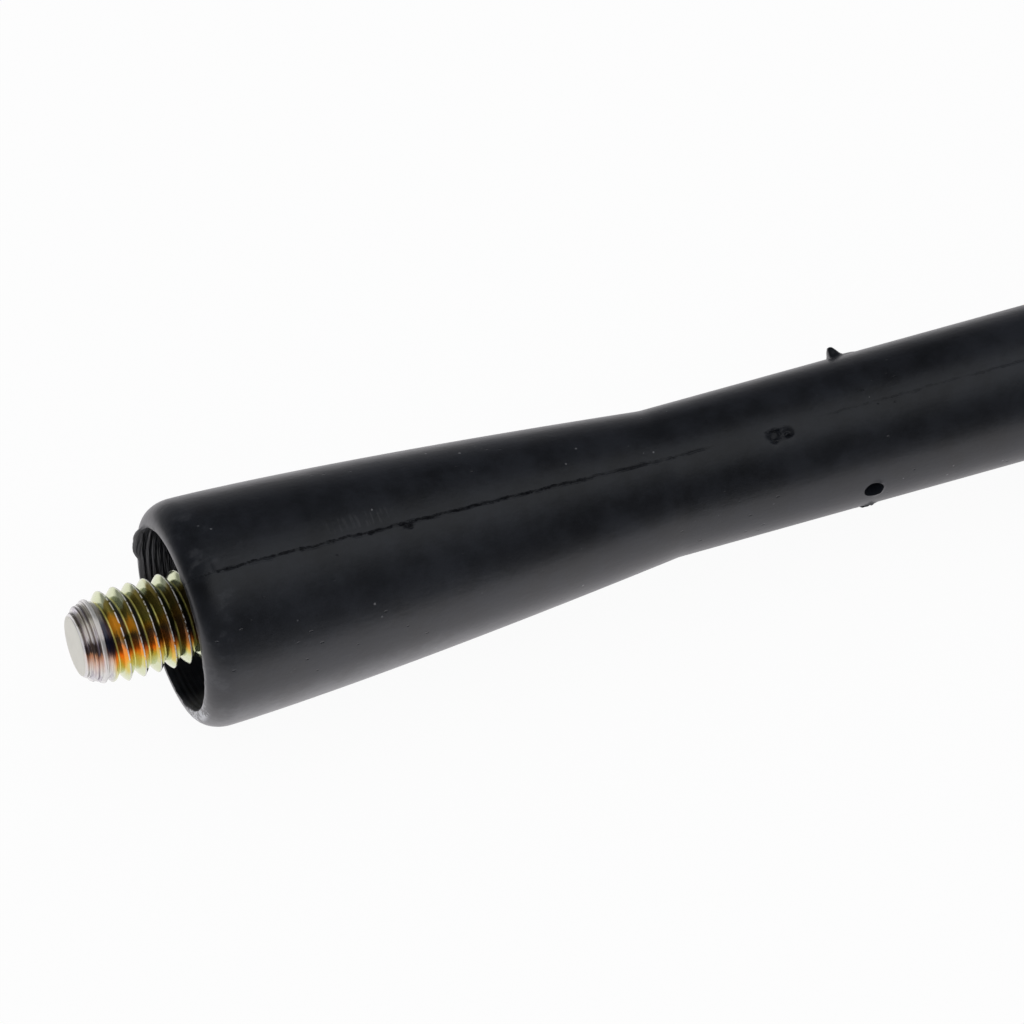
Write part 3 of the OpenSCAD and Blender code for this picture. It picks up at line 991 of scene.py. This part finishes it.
class AERIAL_OT_sheath(bpy.types.Operator):
    """Make the moulded rubber sheath with its flash, scars and ringed hollow"""

    bl_idname = "aerial.sheath"
    bl_label = "Rubber sheath"

    def execute(self, context):
        settings = context.scene.aerial_sheath
        made = build_sheath(settings)
        sharpen(made, 50)
        made.data.materials.append(rubber_material(settings))
        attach(made, "root")
        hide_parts("rubber_sheath")
        return {"FINISHED"}


class AERIAL_OT_stud(bpy.types.Operator):
    """Make the plated stud with its thread, shoulder, key and nose"""

    bl_idname = "aerial.stud"
    bl_label = "Threaded stud"

    def execute(self, context):
        settings = context.scene.aerial_stud
        made = build_stud(settings)
        sharpen(made, 40)
        made.data.materials.append(plated_material(settings))
        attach(made, "root")
        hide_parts("threaded_stud")
        return {"FINISHED"}


WINDING_SIZES = ("Wire radius", "Coil radius", "Start", "Length", "Base pitch", "Tip pitch")
WINDING_INPUTS = {"Material": "NodeSocketMaterial", "Points": "NodeSocketInt"}
WINDING_INPUTS.update({name: "NodeSocketFloat" for name in WINDING_SIZES})
WIRE_SIDES = 10


def winding_nodes():
    """Geometry nodes for a wire wound on a rod, with a pitch that drops evenly to the tip."""
    group = bpy.data.node_groups.new("wound_wire", "GeometryNodeTree")
    for name, kind in WINDING_INPUTS.items():
        group.interface.new_socket(name, in_out="INPUT", socket_type=kind)
    group.interface.new_socket("Wire", in_out="OUTPUT", socket_type="NodeSocketGeometry")
    tree = Tree(group)
    given = tree.node("NodeGroupInput").link.node.outputs
    wire, coil, start, total, base, tip = (Socket(tree, given[name]) for name in WINDING_SIZES)
    line = tree.node("GeometryNodeCurvePrimitiveLine", {"End": (1, 0, 0)})
    points = {"Curve": line, "Count": Socket(tree, given["Points"])}
    line = tree.node("GeometryNodeResampleCurve", points)
    share = tree.node("GeometryNodeSplineParameter")
    drop = base - tip
    turns = total / drop * (base / tip).of("LOGARITHM", np.e)
    turned = share * turns
    fallen = (-turned * drop / total).of("EXPONENT")
    along = total * base / drop * (1 - fallen)
    angle = turned * (2 * np.pi)
    y = -coil * angle.of("COSINE")
    z = coil * angle.of("SINE")
    place = tree.node("ShaderNodeCombineXYZ", [start + along, y, z])
    path = tree.node("GeometryNodeSetPosition", {"Geometry": line, "Position": place})
    ring = {"Resolution": WIRE_SIDES, "Radius": wire}
    ring = tree.node("GeometryNodeCurvePrimitiveCircle", ring)
    swept = {"Curve": path, "Profile Curve": ring, "Fill Caps": True}
    tube = tree.node("GeometryNodeCurveToMesh", swept)
    whole = tree.node("GeometryNodeRealizeInstances", {"Geometry": tube})
    finish = {"Geometry": whole, "Material": Socket(tree, given["Material"])}
    coated = tree.node("GeometryNodeSetMaterial", finish)
    tree.node("NodeGroupOutput", [coated])
    return group


def build_winding(s, finish):
    """Runs the winding's nodes and keeps the result as a plain mesh."""
    nodes = winding_nodes()
    low, high = (Vector(corner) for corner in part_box("antenna_winding"))
    total = high.x - low.x - 2 * s.wire_radius
    turns = total / (s.pitch_base - s.pitch_tip) * np.log(s.pitch_base / s.pitch_tip)
    sizes = {
        "Material": finish,
        "Wire radius": s.wire_radius,
        "Coil radius": s.coil_radius,
        "Start": low.x + s.wire_radius,
        "Length": total,
        "Base pitch": s.pitch_base,
        "Tip pitch": s.pitch_tip,
        "Points": int(turns * s.steps),
    }
    carrier = placed("wire_carrier", bpy.data.meshes.new("wire_carrier"))
    wound = carrier.modifiers.new("wound_wire", "NODES")
    wound.node_group = nodes
    for item in nodes.interface.items_tree:
        if item.name in sizes:
            wound[item.identifier] = sizes[item.name]
    shown = carrier.evaluated_get(bpy.context.evaluated_depsgraph_get())
    mesh = bpy.data.meshes.new_from_object(shown)
    bpy.data.objects.remove(carrier)
    mesh.name = "wound_wire"
    mesh.shade_smooth()
    return placed("wound_wire", mesh)


# Inner finishes: name, light and dark colour, metallic, roughness, grain and its stretch.
COPPER = ("enamelled_copper", (0.62, 0.22, 0.08), (0.45, 0.14, 0.05), 0.9, 0.22, 600)
FIBRE = ("glass_fibre", (0.72, 0.68, 0.5), (0.55, 0.5, 0.34), 0.0, 0.4, 900, (0.05, 1, 1))
SOLDER = ("solder", (0.66, 0.67, 0.7), (0.5, 0.51, 0.54), 1.0, 0.28, 1500)
TUBE = ("shrink_tube", (0.02, 0.02, 0.022), (0.012, 0.012, 0.014), 0.0, 0.4, 700)
CORE_FINISHES = {"core_rod": FIBRE, "solder_joint": SOLDER, "shrink_sleeve": TUBE}


class AERIAL_OT_winding(bpy.types.Operator):
    """Wind the enamelled wire on the rod"""

    bl_idname = "aerial.winding"
    bl_label = "Wound wire"

    def execute(self, context):
        made = build_winding(context.scene.aerial_winding, plain_material(*COPPER))
        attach(made, "root")
        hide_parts("antenna_winding")
        return {"FINISHED"}


class AERIAL_OT_core(bpy.types.Operator):
    """Finish the rod, solder and sleeve inside the rubber"""

    bl_idname = "aerial.core"
    bl_label = "Rod, solder and sleeve"

    def execute(self, context):
        for name, finish in CORE_FINISHES.items():
            material = plain_material(*finish)
            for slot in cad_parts[name].material_slots:
                slot.material = material
        return {"FINISHED"}


def picture_axes(stage):
    """Directions to the right, up and into the picture."""
    a, e = stage.azimuth, stage.elevation
    right = Vector((np.cos(a), np.sin(a), 0))
    into = Vector((-np.sin(a) * np.cos(e), np.cos(a) * np.cos(e), -np.sin(e)))
    return right, right.cross(into), into


def add_camera(context, stage):
    right, up, into = picture_axes(stage)
    distance = stage.lens * IMAGE_SIDE / (SENSOR * stage.pixels_per_metre)
    axis = Vector((right.x, up.x))
    across = Vector((-axis.y, axis.x)).normalized() * stage.aim_rise
    target = Vector((stage.aim_station, 0, 0)) + right * across.x + up * across.y
    data = bpy.data.cameras.new("photo_camera")
    data.lens = stage.lens
    data.sensor_width = SENSOR
    data.clip_start = 0.01
    data.clip_end = 20
    camera = placed("photo_camera", data)
    camera.location = target - into * distance
    camera.rotation_euler = into.to_track_quat("-Z", "Y").to_euler()
    context.scene.camera = camera


FLOOR_SIDE = 3.0
FLOOR_MIDDLE = 0.1
# Where the reflected floor fades with distance, and where it is darker along the mast.
GLOW_FADE = (16 * MM, 58 * MM)
DIM_STRETCH = (26 * MM, 44 * MM)


def floor_material():
    """Floor that looks almost white, keeps a soft shadow and is reflected only near the mast."""
    made = bpy.data.materials.new("pale_floor")
    tree = Tree.of(made)
    camera_ray, glossy_ray = tree.rays()
    x, y = tree.axes(tree.node("ShaderNodeNewGeometry"))[:2]
    beyond = (STUD_LOW.x - x).of("MAXIMUM", 0.0) * 0.45
    aside = (-y).of("MAXIMUM", y * 0.68)
    away = (aside * aside + beyond * beyond).of("SQRT")
    near = away.fade(*GLOW_FADE) * (1 - 0.18 * x.band(*DIM_STRETCH))
    grey = tree.mix(glossy_ray, (0.9, 0.9, 0.9), (0.3, 0.3, 0.3))
    matt = tree.node("ShaderNodeBsdfDiffuse", {"Color": grey})
    tint = tree.mix(glossy_ray, (1, 1, 1), (1, 0.975, 1))
    white = tree.node("ShaderNodeEmission", {"Color": tint, "Strength": 1.0})
    seen = camera_ray * 0.95 + glossy_ray * near
    mixed = tree.node("ShaderNodeMixShader", [seen, matt, white])
    tree.node("ShaderNodeOutputMaterial", [mixed])
    return made


def add_floor(context):
    """Floor just under the boot and the slimmer tip, so on a slope."""
    sheath = context.scene.aerial_sheath
    run = SHEATH_HIGH.x - sheath.tip_radius - sheath.lip_length
    slope = np.arctan2(sheath.boot_radius - sheath.tip_radius, run)
    bpy.ops.mesh.primitive_plane_add(size=FLOOR_SIDE)
    floor = context.object
    floor.name = "floor"
    foot = Vector((sheath.lip_length, 0, -sheath.boot_radius - 0.1 * MM))
    floor.rotation_euler = (0, -slope, 0)
    floor.location = foot + Vector((np.cos(slope), 0, np.sin(slope))) * FLOOR_MIDDLE
    floor.data.materials.append(floor_material())


def add_softbox(place, aim):
    data = bpy.data.lights.new("softbox", "AREA")
    data.shape = "RECTANGLE"
    data.size, data.size_y = 1.1, 0.46
    data.energy = 0.4
    lamp = placed("softbox", data)
    lamp.location = place
    lamp.rotation_euler = (aim - place).to_track_quat("-Z", "Y").to_euler()


def light_world(context):
    """White behind everything, a dim room for reflections and an even fill for the rest."""
    world = bpy.data.worlds.new("studio")
    context.scene.world = world
    tree = Tree.of(world)
    camera_ray, glossy_ray = tree.rays()
    x, y, z = tree.axes(tree.node("ShaderNodeTexCoord"))
    horizon = tree.mix(y.band(-0.2, 0.6), (0.06, 0.06, 0.065), (0.25, 0.25, 0.265))
    room = tree.mix(z.band(0.0, 0.4), horizon, (0.015, 0.016, 0.018))
    above = 0.24 * x - 0.28 * y + 0.93 * z
    room = tree.mix(above.band(0.8, 0.97), room, (0.16, 0.17, 0.185))
    fill = tree.mix(glossy_ray, (0.64, 0.65, 0.67), room)
    shown = tree.mix(camera_ray, fill, (0.975, 0.975, 0.975))
    background = tree.node("ShaderNodeBackground", {"Color": shown, "Strength": 1.0})
    tree.node("ShaderNodeOutputWorld", [background])


class AERIAL_OT_stage(bpy.types.Operator):
    """Set up the camera, the pale floor and the soft studio light"""

    bl_idname = "aerial.stage"
    bl_label = "Stage"

    def execute(self, context):
        add_camera(context, context.scene.aerial_stage)
        add_floor(context)
        light_world(context)
        add_softbox(Vector((0.22, -0.2, 0.73)), Vector((0.03, 0, 0)))
        context.scene.view_settings.view_transform = "Standard"
        return {"FINISHED"}


class AERIAL_PT_panel(bpy.types.Panel):
    """Lists the pieces in the order in which they are made"""

    bl_label = "Mast aerial"
    bl_idname = "AERIAL_PT_panel"
    bl_space_type = "VIEW_3D"
    bl_region_type = "UI"
    bl_category = "Aerial"

    def draw(self, context):
        for part in ("sheath", "stud", "winding", "core", "stage"):
            column = self.layout.column(align=True)
            column.operator("aerial." + part)
            settings = getattr(context.scene, "aerial_" + part, None)
            if settings:
                for name in type(settings).__annotations__:
                    column.prop(settings, name)


SETTINGS = {
    "aerial_sheath": SheathSettings,
    "aerial_stud": StudSettings,
    "aerial_winding": WindingSettings,
    "aerial_stage": StageSettings,
}
CLASSES = (
    AERIAL_OT_sheath,
    AERIAL_OT_stud,
    AERIAL_OT_winding,
    AERIAL_OT_core,
    AERIAL_OT_stage,
    AERIAL_PT_panel,
)


def register():
    for name, group in SETTINGS.items():
        bpy.utils.register_class(group)
        setattr(bpy.types.Scene, name, bpy.props.PointerProperty(type=group))
    for cls in CLASSES:
        bpy.utils.register_class(cls)


def unregister():
    for cls in reversed(CLASSES):
        bpy.utils.unregister_class(cls)
    for name, group in reversed(SETTINGS.items()):
        delattr(bpy.types.Scene, name)
        bpy.utils.unregister_class(group)


def main():
    register()
    bpy.ops.aerial.sheath()
    bpy.ops.aerial.stud()
    bpy.ops.aerial.winding()
    bpy.ops.aerial.core()
    bpy.ops.aerial.stage()


if __name__ == "__main__":
    main()
